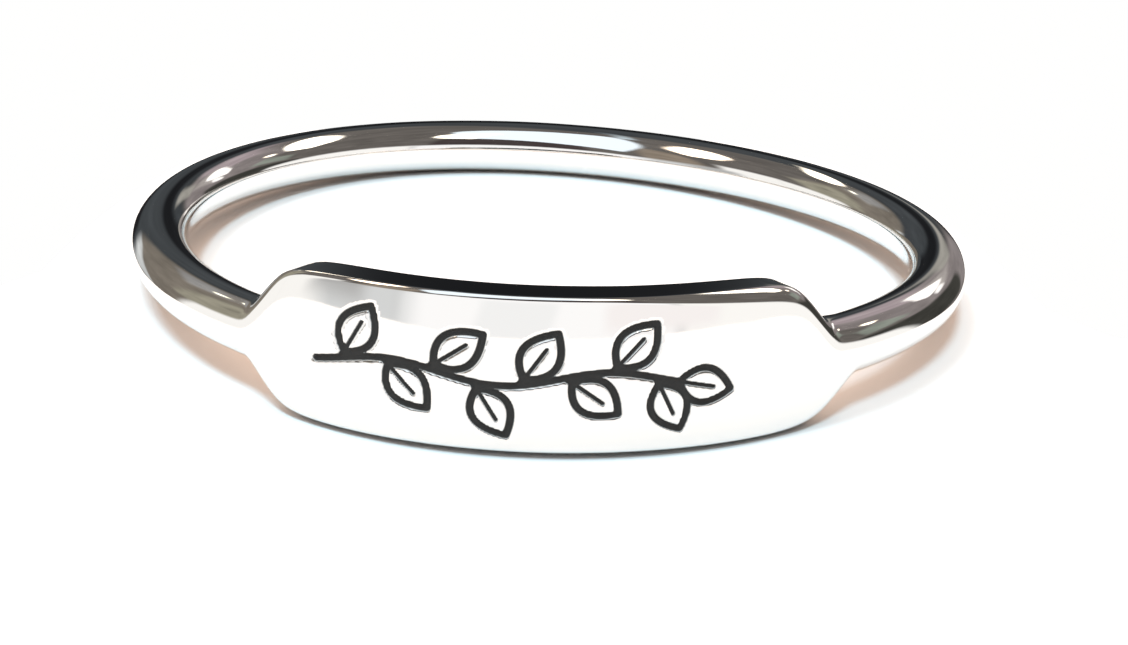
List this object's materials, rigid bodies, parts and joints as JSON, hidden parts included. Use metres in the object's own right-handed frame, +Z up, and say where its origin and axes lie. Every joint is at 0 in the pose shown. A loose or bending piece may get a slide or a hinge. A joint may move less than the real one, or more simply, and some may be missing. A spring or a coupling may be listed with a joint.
{
  "type": "stacking ring",
  "caption": "Slim stacking ring: a round wire band that runs into a curved oblong plate with canted corners and a shallow engraved sprig.",
  "frame": {"origin": "on the surface the ring lies on, under the middle of its outer box", "axes": "+Z up from that surface; -Y is the side of the plate; +X is to the right as the plate is looked at"},
  "size_m": [0.0202, 0.02, 0.0036],
  "materials": {
    "silver": "polished sterling silver, with the shallow engraving blackened"
  },
  "bodies": {
    "root": {"ring": "silver"}
  },
  "joints": []
}
